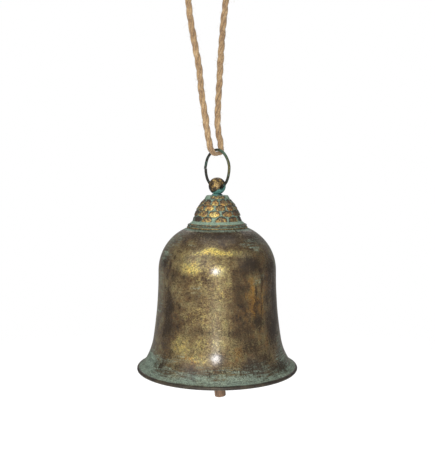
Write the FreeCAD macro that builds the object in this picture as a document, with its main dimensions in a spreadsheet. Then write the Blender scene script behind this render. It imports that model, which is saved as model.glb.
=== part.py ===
import FreeCAD, Part
import math
import os

import Sketcher

# A hanging bell in the ship-bell shape: a thin brass shell with a rolled lip, a scaled crown cap, a ball that
# hangs on a wire ring, a jute rope loop through the ring, and a wooden striker on a wire rod inside.
# Millimetres. The heights below are above the plane of the bell's mouth. The row's origin is the inside of the
# top of the rope loop, where a hook bears, on the bell's axis, and +Z is up.

SIZES = {
    "hook_height": 381.0,
    # bell shell
    "rim_radius": 76.4,
    "bead_radius": 1.7,
    "bead_drop": 0.8,
    "sheet": 1.2,
    "lip_radius": 74.4,
    "lip_height": 2.57,
    "lip_inner_radius": 73.3,
    "lip_inner_height": 1.85,
    "flare_radius": 69.0,
    "flare_height": 7.5,
    "skirt_radius": 60.6,
    "skirt_height": 30.0,
    "waist_radius": 55.7,
    "waist_height": 94.0,
    "seat_radius": 27.8,
    "seat_height": 134.6,
    "lip_bend": 13.7,
    "flare_bend": 59.2,
    "waist_bend": 420.0,
    "shoulder_bend": 43.5,
    # crown
    "plate_radius": 28.6,
    "plate_step": 27.9,
    "plate_groove": 27.1,
    "plate_thick": 3.1,
    "groove_low": 1.0,
    "groove_high": 0.6,
    "foot_radius": 26.2,
    "foot_thick": 0.7,
    "cap_radius": 23.1,
    "cap_base": 3.3,
    "cap_top_radius": 12.4,
    "cap_high": 23.5,
    "cap_bend": 38.0,
    "cap_wall": 1.4,
    "ferrule_radius": 11.8,
    "ferrule_top_radius": 10.3,
    "ferrule_high": 3.5,
    "ferrule_foot": 0.6,
    "ferrule_inset": 0.3,
    "ferrule_edge": 0.5,
    # stem, washers and nut
    "stem_radius": 2.5,
    "stem_top": 169.1,
    "stem_foot": 119.5,
    "stem_chamfer": 0.5,
    "thread_gap": 0.05,
    "neck_radius": 4.9,
    "neck_thick": 1.15,
    "fibre_radius": 9.0,
    "fibre_thick": 1.5,
    "washer_radius": 7.5,
    "washer_thick": 1.0,
    "spring_radius": 4.4,
    "spring_thick": 1.2,
    "spring_turn": 350.0,
    "nut_flats": 8.0,
    "nut_thick": 4.0,
    "stack_gap": 0.05,
    # ball and hanging ring
    "ball_radius": 8.1,
    "ball_height": 173.6,
    "ball_flat": 7.5,
    "ball_flat_radius": 3.06,
    "ring_bore": 2.55,
    "bore_drop": 1.2,
    "ring_sink": 0.93,
    "ring_radius": 18.0,
    "ring_wire": 1.35,
    "ring_turn": 358.8,
    # clapper
    "eye_boss_radius": 4.4,
    "eye_boss_high": 6.8,
    "eye_radius": 5.2,
    "eye_wire": 1.4,
    "eye_height": 114.0,
    "link_half_width": 3.4,
    "link_wire": 1.1,
    "link_pitch": 11.8,
    "link_gap": 0.35,
    "hook_gap": 0.3,
    "rod_eye": 4.0,
    "rod_wire": 1.2,
    "shank_radius": 1.05,
    "rod_drop": 67.2,
    "rod_depth": 14.0,
    "rod_lean": 3.3,
    "striker_radius": 5.35,
    "striker_long": 59.2,
    "striker_edge": 0.6,
    "striker_lean": 7.6,
    # rope
    "rope_radius": 3.0,
    "knot_radius": 8.0,
    "knot_half": 7.2,
    "knot_end_radius": 4.2,
    "knot_bend": 9.3,
    "knot_lean": 8.4,
    "knot_out": 12.0,
    "knot_height": 358.3,
    "tail_long": 22.0,
}

# The rope's line in the YZ plane of the row frame, from the foot of the knot down the +Y strand, round the ring's
# wire, up the -Y strand, over the hook and down into the knot. Each pair is (y, z).
ROPE_ROUTE = [
    (11.2, -28.0),
    (9.3, -42.0),
    (6.6, -61.0),
    (4.2, -86.0),
    (2.6, -113.0),
    (0.4, -138.0),
    (0.5, -155.0),
    (4.5, -168.8),
    (5.0, -178.6),
    (-5.0, -178.6),
    (-9.0, -169.8),
    (-12.0, -155.0),
    (-15.0, -138.0),
    (-18.7, -120.0),
    (-20.2, -102.0),
    (-25.0, -81.0),
    (-31.0, -56.0),
    (-33.5, -34.0),
    (-30.0, -18.0),
    (-19.0, -4.0),
    (-5.8, 3.0),
    (5.8, 3.0),
    (14.0, -5.2),
    (13.1, -17.2),
]
BEND_SHARE = 0.45

# The knot's two tails: each the angle about X from upright, and the angle about Z.
TAILS = [(-52.0, -18.0), (-84.0, 16.0)]

doc = FreeCAD.newDocument("hanging_bell")
nodes = []


# ---------------------------------------------------------------- sizes
class Size:
    """A length as a number, and as the expression that gives it from the sheet."""

    def __init__(self, value, text):
        self.value = float(value)
        self.text = text

    def __add__(self, other):
        other = as_size(other)
        return Size(self.value + other.value, f"({self.text} + {other.text})")

    def __sub__(self, other):
        other = as_size(other)
        return Size(self.value - other.value, f"({self.text} - {other.text})")

    def __mul__(self, other):
        other = as_size(other)
        return Size(self.value * other.value, f"({self.text} * {other.text})")

    def __neg__(self):
        return Size(-self.value, f"(0 - {self.text})")


def as_size(amount):
    return amount if isinstance(amount, Size) else Size(amount, repr(float(amount)))


def fill_sheet():
    sheet = doc.addObject("Spreadsheet::Sheet", "Sizes")
    for row, (alias, number) in enumerate(SIZES.items(), 1):
        sheet.set(f"A{row}", alias.replace("_", " "))
        sheet.set(f"B{row}", str(number))
        sheet.setAlias(f"B{row}", alias)
    doc.recompute()
    return sheet


sheet = fill_sheet()


def cell(alias):
    return Size(sheet.get(alias), f"Sizes.{alias}")


def bind(thing, **sizes):
    """Bind properties of a document object to the sheet; a name's double underscore stands for a dot."""
    for name, size in sizes.items():
        thing.setExpression(name.replace("__", "."), as_size(size).text)


def node(thing, label, height=None):
    """Name a finished sub-part, and raise its own origin to a height above the mouth."""
    thing.Label = label
    if height is not None:
        bind(thing, Placement__Base__z=height - cell("hook_height"))
    nodes.append(thing)
    return thing


# ---------------------------------------------------------------- sketches
def plane_of(body, role):
    return next(f for f in body.Origin.OriginFeatures if f.Role == role)


def new_sketch(body, name, plane):
    sketch = body.newObject("Sketcher::SketchObject", name)
    sketch.AttachmentSupport = [(plane_of(body, plane), "")]
    sketch.MapMode = "FlatFace"
    return sketch


def hold_point(sketch, geometry, point, x, y):
    """Fix one point of a sketch at (x, y), on an axis where the size is nought."""
    for size, kind, axis in ((x, "DistanceX", -2), (y, "DistanceY", -1)):
        if size.value == 0:
            sketch.addConstraint(Sketcher.Constraint("PointOnObject", geometry, point, axis))
            continue
        held = sketch.addConstraint(Sketcher.Constraint(kind, -1, 1, geometry, point, size.value))
        sketch.setExpression(f"Constraints[{held}]", size.text)


def hold_radius(sketch, geometry, radius):
    held = sketch.addConstraint(Sketcher.Constraint("Radius", geometry, radius.value))
    sketch.setExpression(f"Constraints[{held}]", radius.text)


def arc_between(start, end, bend):
    """The minor arc from start to end; a positive bend turns anticlockwise."""
    chord = end - start
    reach = math.sqrt(bend * bend - (chord.Length / 2) ** 2)
    left = FreeCAD.Vector(-chord.y, chord.x, 0).normalize()
    centre = (start + end) * 0.5 + left * math.copysign(reach, bend)
    circle = Part.Circle(centre, FreeCAD.Vector(0, 0, 1), abs(bend))
    first, last = (start, end) if bend > 0 else (end, start)
    return Part.ArcOfCircle(circle, circle.parameter(first), circle.parameter(last))


def outline_sketch(body, name, outline, plane):
    """A closed outline. A corner is (x, y) or (x, y, bend), where an arc of that radius arrives at the corner."""
    sketch = new_sketch(body, name, plane)
    corners = [[as_size(size) for size in corner] for corner in outline]
    points = [FreeCAD.Vector(corner[0].value, corner[1].value, 0) for corner in corners]
    ends = []
    for i, corner in enumerate(corners):
        if len(corner) == 3:
            edge = sketch.addGeometry(arc_between(points[i - 1], points[i], corner[2].value), False)
            ends.append((edge, 1, 2) if corner[2].value > 0 else (edge, 2, 1))
        else:
            edge = sketch.addGeometry(Part.LineSegment(points[i - 1], points[i]), False)
            ends.append((edge, 1, 2))
    for i, corner in enumerate(corners):
        edge, _, last = ends[i]
        following, first, _ = ends[(i + 1) % len(corners)]
        sketch.addConstraint(Sketcher.Constraint("Coincident", edge, last, following, first))
        hold_point(sketch, edge, last, corner[0], corner[1])
        if len(corner) == 3:
            bend = corner[2] if corner[2].value > 0 else -corner[2]
            hold_radius(sketch, edge, bend)
    return sketch


def circle_sketch(body, name, x, y, radius, plane):
    sketch = new_sketch(body, name, plane)
    circle = Part.Circle(FreeCAD.Vector(x.value, y.value, 0), FreeCAD.Vector(0, 0, 1), radius.value)
    edge = sketch.addGeometry(circle, False)
    hold_point(sketch, edge, 3, x, y)
    hold_radius(sketch, edge, radius)
    return sketch


def turn(body, sketch, angle=None, middle=False, kind="Revolution"):
    feature = body.newObject(f"PartDesign::{kind}", f"{body.Name}_{kind.lower()}")
    feature.Profile = sketch
    feature.ReferenceAxis = (sketch, ["V_Axis"])
    feature.Midplane = middle
    if angle is not None:
        bind(feature, Angle=angle)
    return feature


def turned_body(name, outline, angle=None):
    """A body of revolution about Z, from its outline in the XZ plane."""
    body = doc.addObject("PartDesign::Body", name)
    turn(body, outline_sketch(body, name + "_outline", outline, "XZ_Plane"), angle)
    return body


def disc(name, radius, bore, low, thick, angle=None):
    return turned_body(name, [(bore, low), (radius, low), (radius, low + thick), (bore, low + thick)], angle)


# ---------------------------------------------------------------- Part primitives
def primitive(kind, name, **sizes):
    thing = doc.addObject(f"Part::{kind}", name)
    bind(thing, **sizes)
    return thing


def turned_to(thing, axis, angle):
    """Turn a primitive about an axis through its own origin."""
    thing.Placement = FreeCAD.Placement(thing.Placement.Base, FreeCAD.Rotation(FreeCAD.Vector(*axis), angle))
    return thing


def fused(name, *pieces):
    thing = doc.addObject("Part::MultiFuse", name)
    thing.Shapes = list(pieces)
    return thing


def cut(name, base, tool):
    thing = doc.addObject("Part::Cut", name)
    thing.Base = base
    thing.Tool = tool
    return thing


nought = as_size(0)
clear_bore = cell("stem_radius") + cell("thread_gap")
stack_gap = cell("stack_gap")
seat = cell("seat_height")
plate_top = seat + stack_gap + cell("plate_thick")
cap_low = plate_top + stack_gap
cap_top = cap_low + cell("cap_high")
ferrule_low = cap_top + stack_gap
ferrule_top = ferrule_low + cell("ferrule_high")


# ---------------------------------------------------------------- the bell's shell
def make_shell():
    sheet_thick = cell("sheet")
    half = sheet_thick * 0.5
    bead = cell("bead_radius")
    rim_centre = cell("rim_radius") - bead
    rim_foot = -cell("bead_drop")
    outline = [
        (clear_bore, seat - sheet_thick),
        (clear_bore, seat),
        (cell("seat_radius"), seat),
        (cell("waist_radius"), cell("waist_height"), -cell("shoulder_bend")),
        (cell("skirt_radius"), cell("skirt_height"), cell("waist_bend")),
        (cell("flare_radius"), cell("flare_height"), cell("flare_bend")),
        (cell("lip_radius"), cell("lip_height"), cell("lip_bend")),
        (cell("rim_radius"), rim_foot + bead, -bead),
        (rim_centre, rim_foot, -bead),
        (cell("lip_inner_radius"), cell("lip_inner_height"), -bead),
        (cell("flare_radius") - sheet_thick, cell("flare_height") - half, -(cell("lip_bend") + sheet_thick)),
        (cell("skirt_radius") - sheet_thick, cell("skirt_height"), -(cell("flare_bend") + sheet_thick)),
        (cell("waist_radius") - sheet_thick, cell("waist_height"), -(cell("waist_bend") + sheet_thick)),
        (cell("seat_radius"), seat - sheet_thick, cell("shoulder_bend") - sheet_thick),
    ]
    node(turned_body("Shell", outline), "bell_shell", nought)


# ---------------------------------------------------------------- the crown
def make_crown():
    low = seat + stack_gap
    groove_low = low + cell("groove_low")
    groove_top = groove_low + cell("groove_high")
    plate = [
        (clear_bore, low),
        (cell("plate_radius"), low),
        (cell("plate_radius"), groove_low),
        (cell("plate_groove"), groove_low),
        (cell("plate_groove"), groove_top),
        (cell("plate_step"), groove_top),
        (cell("plate_step"), plate_top),
        (clear_bore, plate_top),
    ]
    node(turned_body("Plate", plate), "crown_base_plate", nought)

    wall = cell("cap_wall")
    cap = [
        (cell("cap_radius") - wall, cap_low),
        (cell("foot_radius"), cap_low),
        (cell("foot_radius"), cap_low + cell("foot_thick")),
        (cell("cap_radius"), cap_low + cell("cap_base")),
        (cell("cap_top_radius"), cap_top, cell("cap_bend")),
        (clear_bore, cap_top),
        (clear_bore, cap_top - wall),
        (cell("cap_top_radius") - wall, cap_top - wall),
        (cell("cap_radius") - wall, cap_low + cell("cap_base"), -(cell("cap_bend") - wall)),
    ]
    node(turned_body("Cap", cap), "crown_cap", nought)

    edge = cell("ferrule_edge")
    ferrule = [
        (clear_bore, ferrule_low),
        (cell("ferrule_radius") - cell("ferrule_inset"), ferrule_low),
        (cell("ferrule_radius"), ferrule_low + cell("ferrule_foot")),
        (cell("ferrule_top_radius"), ferrule_top - edge),
        (cell("ferrule_top_radius") - edge, ferrule_top),
        (clear_bore, ferrule_top),
    ]
    node(turned_body("Ferrule", ferrule), "crown_ferrule", nought)
    neck = disc("Neck", cell("neck_radius"), clear_bore, ferrule_top + stack_gap, cell("neck_thick"))
    node(neck, "neck_washer", nought)


# ---------------------------------------------------------------- stem, washers and nut inside
def make_stack():
    chamfer = cell("stem_chamfer")
    stem = [
        (nought, cell("stem_foot")),
        (cell("stem_radius") - chamfer, cell("stem_foot")),
        (cell("stem_radius"), cell("stem_foot") + chamfer),
        (cell("stem_radius"), cell("stem_top") - chamfer),
        (cell("stem_radius") - chamfer, cell("stem_top")),
        (nought, cell("stem_top")),
    ]
    node(turned_body("Stem", stem), "threaded_stem", nought)

    level = seat - cell("sheet")
    for name, label, radius, thick, angle in (
        ("Fibre", "fibre_washer", cell("fibre_radius"), cell("fibre_thick"), None),
        ("Washer", "flat_washer", cell("washer_radius"), cell("washer_thick"), None),
        ("Spring", "spring_washer", cell("spring_radius"), cell("spring_thick"), cell("spring_turn")),
    ):
        level = level - stack_gap - thick
        node(disc(name, radius, clear_bore, level, thick, angle), label, nought)

    level = level - stack_gap - cell("nut_thick")
    across_corners = cell("nut_flats") * (1 / math.cos(math.pi / 6))
    hexagon = primitive("Prism", "NutBlank", Circumradius=across_corners * 0.5, Height=cell("nut_thick"))
    hexagon.Polygon = 6
    bore = primitive("Cylinder", "NutBore", Radius=clear_bore, Height=cell("nut_thick"))
    node(cut("Nut", hexagon, bore), "hex_nut", level)
    return level - stack_gap


# ---------------------------------------------------------------- ball and ring
def make_ball():
    body = doc.addObject("PartDesign::Body", "Ball")
    ball, flat = cell("ball_radius"), cell("ball_flat")
    outline = [
        (nought, -flat),
        (cell("ball_flat_radius"), -flat),
        (ball, nought, ball),
        (nought, ball, ball),
    ]
    turn(body, outline_sketch(body, "Ball_outline", outline, "XZ_Plane"))
    solid_volume = volume_after_recompute(body)

    stem_room = cell("stem_top") + stack_gap - cell("ball_height")
    blind = [(nought, -ball), (clear_bore, -ball), (clear_bore, stem_room), (nought, stem_room)]
    turn(body, outline_sketch(body, "Ball_blind", blind, "XZ_Plane"), kind="Groove")
    drilled_volume = volume_after_recompute(body)

    cross = circle_sketch(body, "Ball_cross", nought, -cell("bore_drop"), cell("ring_bore"), "YZ_Plane")
    pocket = body.newObject("PartDesign::Pocket", "Ball_pocket")
    pocket.Profile = cross
    pocket.Type = "ThroughAll"
    pocket.Midplane = True
    crossed_volume = volume_after_recompute(body)
    if not solid_volume > drilled_volume > crossed_volume:
        raise SystemExit("the ball's bores cut nothing")
    node(body, "hanger_ball", cell("ball_height"))


def volume_after_recompute(body):
    doc.recompute()
    return body.Shape.Volume


def make_ring():
    """A butted wire ring in the XZ plane, its gap on the -X side."""
    body = doc.addObject("PartDesign::Body", "Ring")
    wire = circle_sketch(body, "Ring_wire", cell("ring_radius"), nought, cell("ring_wire"), "XY_Plane")
    turn(body, wire, cell("ring_turn"), middle=True)
    ring_foot = cell("ball_height") - cell("bore_drop") - cell("ring_sink")
    node(body, "hanging_ring", ring_foot + cell("ring_radius"))


# ---------------------------------------------------------------- clapper
def make_eye_nut(boss_top):
    """The eye that the clapper hangs on: a round boss on the stem's foot, with a ring in the YZ plane below."""
    boss = primitive("Cylinder", "EyeBoss", Radius=cell("eye_boss_radius"), Height=cell("eye_boss_high"))
    bind(boss, Placement__Base__z=boss_top - cell("eye_boss_high") - cell("eye_height"))
    ring = primitive("Torus", "EyeRing", Radius1=cell("eye_radius"), Radius2=cell("eye_wire"))
    turned_to(ring, (0, 1, 0), 90)
    bore = primitive("Cylinder", "EyeBore", Radius=clear_bore, Height=cell("eye_boss_high"))
    bind(bore, Placement__Base__z=cell("stem_foot") - stack_gap - cell("eye_height"))
    node(cut("EyeNut", fused("EyeSolid", boss, ring), bore), "clapper_eye_nut", cell("eye_height"))
    return cell("eye_height") - cell("eye_radius")


def make_link(pivot):
    """An oval wire link in the XZ plane, butted on its -X leg. Its origin is the centre of its upper bend."""
    half, wire, pitch = cell("link_half_width"), cell("link_wire"), cell("link_pitch")
    upper_run = cell("eye_wire") + cell("hook_gap") + wire
    straight = upper_run + pitch - half * 2
    bends = []
    for name, angle, height in (("LinkTop", 90, nought), ("LinkFoot", -90, -straight)):
        bend = primitive("Torus", name, Radius1=half, Radius2=wire)
        bend.Angle3 = 180
        turned_to(bend, (1, 0, 0), angle)
        bind(bend, Placement__Base__z=height)
        bends.append(bend)
    legs = []
    for name, side in (("LinkLegA", 1), ("LinkLegB", -1)):
        leg = primitive("Cylinder", name, Radius=wire, Height=straight)
        bind(leg, Placement__Base__x=half * side, Placement__Base__z=-straight)
        legs.append(leg)
    slit = primitive("Box", "LinkSlit", Length=wire * 4, Width=wire * 4, Height=cell("link_gap"))
    bind(
        slit,
        Placement__Base__x=-half - wire * 2,
        Placement__Base__y=-(wire * 2),
        Placement__Base__z=-(straight * 0.5),
    )
    link = cut("Link", fused("LinkSolid", *bends, *legs), slit)
    node(link, "clapper_link", pivot + upper_run - half)
    return pivot - pitch


def make_clapper(pivot):
    """The rod hangs on the link by an eye in the YZ plane. Its hole in the striker is drilled out of square."""
    lean = SIZES["rod_lean"]
    wire, eye = cell("rod_wire"), cell("rod_eye")
    eye_top = cell("link_wire") + cell("hook_gap") + wire
    rod_long = cell("rod_drop") + cell("rod_depth") + eye_top - eye * 2

    ring = primitive("Torus", "RodEye", Radius1=eye, Radius2=wire)
    turned_to(ring, (0, 1, 0), 90)
    bind(ring, Placement__Base__z=eye_top - eye)
    shank = primitive("Cylinder", "RodShank", Radius=cell("shank_radius"), Height=rod_long)
    bind(shank, Placement__Base__z=-(cell("rod_drop") + cell("rod_depth")))
    rod = fused("Rod", ring, shank)
    turned_to(rod, (1, 0, 0), -lean)
    node(rod, "clapper_rod", pivot)

    radius, edge, long = cell("striker_radius"), cell("striker_edge"), cell("striker_long")
    outline = [
        (nought, -long),
        (radius - edge, -long),
        (radius, -long + edge, edge),
        (radius, -edge),
        (radius - edge, nought, edge),
        (nought, nought),
    ]
    dowel = turned_body("Dowel", outline)
    hole_radius = cell("shank_radius") + cell("thread_gap")
    hole = primitive("Cylinder", "RodHole", Radius=hole_radius, Height=cell("rod_depth") * 2)
    crook = SIZES["rod_lean"] + SIZES["striker_lean"]
    turned_to(hole, (1, 0, 0), -crook)
    reach = SIZES["rod_depth"] + SIZES["thread_gap"]
    hole.Placement.Base = hole.Placement.Rotation.multVec(FreeCAD.Vector(0, 0, -reach))
    striker = cut("Striker", dowel, hole)
    turned_to(striker, (1, 0, 0), SIZES["striker_lean"])
    bind(striker, Placement__Base__y=-(cell("rod_drop") * math.sin(math.radians(lean))))
    node(striker, "wooden_striker", pivot - cell("rod_drop") * math.cos(math.radians(lean)))


# ---------------------------------------------------------------- rope and knot
def rope_wire(points):
    """Straight runs joined by tangent arcs, each as large as its two runs allow. Returns the wire and the radii."""
    corners = [FreeCAD.Vector(0, y, z) for y, z in points]
    edges, radii, start = [], [], corners[0]
    for before, corner, after in zip(corners, corners[1:], corners[2:]):
        back = before - corner
        ahead = after - corner
        reach = BEND_SHARE * min(back.Length, ahead.Length)
        turn_angle = math.pi - back.getAngle(ahead)
        radii.append(reach / math.tan(turn_angle / 2))
        enter = corner + back.normalize() * reach
        leave = corner + ahead.normalize() * reach
        inward = (back + ahead).normalize()
        middle = corner + inward * (radii[-1] / math.cos(turn_angle / 2) - radii[-1])
        edges.append(Part.LineSegment(start, enter).toShape())
        edges.append(Part.Arc(enter, middle, leave).toShape())
        start = leave
    edges.append(Part.LineSegment(start, corners[-1]).toShape())
    return Part.Wire(edges), radii


def make_rope():
    radius = float(sheet.rope_radius)
    line, radii = rope_wire(ROPE_ROUTE)
    first = FreeCAD.Vector(0, *ROPE_ROUTE[0])
    heading = FreeCAD.Vector(0, *ROPE_ROUTE[1]) - first
    section = Part.Wire([Part.Circle(first, heading, radius).toShape()])
    rope = doc.addObject("Part::Feature", "Rope")
    rope.Shape = line.makePipeShell([section], True, True)
    expected = math.pi * radius * radius * line.Length
    print("rope length", round(line.Length, 1), "bend radii", [round(bend, 1) for bend in radii])
    print("rope volume over section times length", round(rope.Shape.Volume / expected, 4))
    node(rope, "jute_rope")


def make_knot():
    end, half, radius = cell("knot_end_radius"), cell("knot_half"), cell("knot_radius")
    outline = [
        (nought, -half),
        (end, -half),
        (radius, nought, cell("knot_bend")),
        (end, half, cell("knot_bend")),
        (nought, half),
    ]
    pieces = [turned_body("KnotBody", outline)]
    for i, (about_x, about_z) in enumerate(TAILS, 1):
        tail = primitive("Cylinder", f"Tail{i}", Radius=cell("rope_radius"), Height=cell("tail_long"))
        spin = FreeCAD.Rotation(FreeCAD.Vector(0, 0, 1), about_z)
        tip = FreeCAD.Rotation(FreeCAD.Vector(1, 0, 0), about_x)
        tail.Placement = FreeCAD.Placement(FreeCAD.Vector(), spin.multiply(tip))
        pieces.append(tail)
    knot = fused("Knot", *pieces)
    turned_to(knot, (1, 0, 0), -SIZES["knot_lean"])
    bind(knot, Placement__Base__y=cell("knot_out"))
    node(knot, "rope_knot", cell("knot_height"))


def check_document():
    doc.recompute()
    for thing in doc.Objects:
        if "Invalid" in thing.State or "Error" in thing.State:
            raise SystemExit(f"{thing.Label} failed: {thing.State}")
        if thing.TypeId == "Sketcher::SketchObject" and not thing.FullyConstrained:
            raise SystemExit(f"{thing.Label} isn't fully constrained")
    for thing in nodes:
        if thing.Shape.isNull() or not thing.Shape.isValid() or not thing.Shape.Solids:
            raise SystemExit(f"{thing.Label} has no valid solid")


def export_nodes():
    os.makedirs("parts", exist_ok=True)
    for thing in nodes:
        thing.Shape.exportStep(f"parts/{thing.Label}.step")
        box = thing.Shape.BoundBox
        print(f"{thing.Label:18} volume {thing.Shape.Volume:9.1f}  z {box.ZMin:8.2f} {box.ZMax:8.2f}")


make_shell()
make_crown()
eye_top_level = make_stack()
make_ball()
make_ring()
link_pivot = make_eye_nut(eye_top_level)
rod_pivot = make_link(link_pivot)
make_clapper(rod_pivot)
make_rope()
make_knot()
check_document()
export_nodes()
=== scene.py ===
"""Looks of the hanging bell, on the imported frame. Metres, Z up, origin inside the top of the rope loop."""
import math
import random

import bpy
from mathutils import Matrix, Vector, noise


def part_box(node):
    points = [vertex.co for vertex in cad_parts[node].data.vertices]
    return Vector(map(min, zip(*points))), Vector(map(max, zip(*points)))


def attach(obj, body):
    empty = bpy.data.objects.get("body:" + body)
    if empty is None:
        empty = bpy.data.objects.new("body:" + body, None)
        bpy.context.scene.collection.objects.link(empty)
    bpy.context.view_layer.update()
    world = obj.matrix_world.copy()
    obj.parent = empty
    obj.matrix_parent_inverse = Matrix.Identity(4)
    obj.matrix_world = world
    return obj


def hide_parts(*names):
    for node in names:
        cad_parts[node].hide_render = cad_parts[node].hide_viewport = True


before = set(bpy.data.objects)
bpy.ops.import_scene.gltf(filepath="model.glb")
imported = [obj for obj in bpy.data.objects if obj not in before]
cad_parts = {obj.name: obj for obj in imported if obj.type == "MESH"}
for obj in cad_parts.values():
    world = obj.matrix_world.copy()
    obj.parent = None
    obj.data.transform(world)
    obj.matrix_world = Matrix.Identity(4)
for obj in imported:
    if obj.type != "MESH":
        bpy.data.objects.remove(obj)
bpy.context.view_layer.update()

MM = 0.001
MOUTH = -0.381  # the plane of the bell's mouth
AZIMUTH = 52  # where the camera stands, in degrees
FRONT = math.radians(AZIMUTH - 90)  # the side of the bell that it sees, as an angle about Z from X
TURN = 2 * math.pi


# ---------------------------------------------------------------- small helpers
def rgb(code):
    """A screen colour such as "8a7a55" as a linear colour."""
    parts = [int(code[i : i + 2], 16) / 255 for i in (0, 2, 4)]
    return tuple(c / 12.92 if c < 0.04045 else ((c + 0.055) / 1.055) ** 2.4 for c in parts) + (1.0,)


def smooth(value, low, high):
    """0 at low and beyond, 1 at high and beyond, with a soft turn at each. Low may be above high."""
    t = min(1.0, max(0.0, (value - low) / (high - low)))
    return t * t * (3 - 2 * t)


def wander(x, y, z=0.0):
    """Smooth noise from about -1 to 1."""
    return noise.noise(Vector((x, y, z)))


def apart(angle, other=FRONT):
    """The angle between two directions about Z, from 0 to pi."""
    return abs(math.remainder(angle - other, TURN))


def arc(start, end, bend, steps):
    """Points after start, up to end, on an arc. A positive bend has its centre on the left of the way."""
    (x0, y0), (x1, y1) = start, end
    dx, dy = x1 - x0, y1 - y0
    chord = math.hypot(dx, dy)
    away = math.copysign(math.sqrt(bend * bend - chord * chord / 4), bend)
    cx, cy = (x0 + x1) / 2 - dy / chord * away, (y0 + y1) / 2 + dx / chord * away
    first = math.atan2(y0 - cy, x0 - cx)
    sweep = math.remainder(math.atan2(y1 - cy, x1 - cx) - first, TURN)
    radius = abs(bend)
    angles = [first + sweep * k / steps for k in range(1, steps + 1)]
    return [(cx + radius * math.cos(a), cy + radius * math.sin(a)) for a in angles]


def straight(start, end, steps):
    """Points after start, up to end, on a line."""
    (x0, y0), (x1, y1) = start, end
    return [(x0 + (x1 - x0) * k / steps, y0 + (y1 - y0) * k / steps) for k in range(1, steps + 1)]


def piece(name, points, faces, body, paints, replaced=(), paint_of=None, corner=None):
    """A mesh in metres that rides on a body."""
    mesh = bpy.data.meshes.new(name)
    mesh.from_pydata(points, [], faces)
    for paint in paints:
        mesh.materials.append(paint)
    if paint_of:
        mesh.polygons.foreach_set("material_index", paint_of)
    mesh.polygons.foreach_set("use_smooth", [True] * len(faces))
    if corner:
        mesh.set_sharp_from_angle(angle=math.radians(corner))
    mesh.update()
    thing = bpy.data.objects.new(name, mesh)
    bpy.context.collection.objects.link(thing)
    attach(thing, body)
    if replaced:
        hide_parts(*replaced)
    return thing


def skin(rows, count, base=0, closed=False):
    """Faces between rows of count points each, from point base on. Closed joins the last row to the first."""
    faces = []
    for j in range(rows if closed else rows - 1):
        here, there = base + j * count, base + (j + 1) % rows * count
        for i in range(count):
            k = (i + 1) % count
            faces.append((here + i, here + k, there + k, there + i))
    return faces


def ends(rows, count, base=0):
    """Faces that close the two ends of an open tube."""
    last = base + (rows - 1) * count
    return [tuple(base + i for i in reversed(range(count))), tuple(last + i for i in range(count))]


def lathe(outline, segments, shift):
    """Points and faces of an outline of (radius, height) in mm turned about Z. shift moves points outward."""
    points = []
    for j in range(segments):
        angle = TURN * j / segments
        for i, (radius, height) in enumerate(outline):
            r = radius + shift(i, angle, radius, height)
            points.append((r * math.cos(angle) * MM, r * math.sin(angle) * MM, MOUTH + height * MM))
    return points, skin(segments, len(outline), closed=True)


def give(thing, name, values):
    """Four numbers for each point of a mesh, as a colour that its material reads."""
    layer = thing.data.attributes.new(name, "FLOAT_COLOR", "POINT")
    layer.data.foreach_set("color", [part for value in values for part in value])


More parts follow.
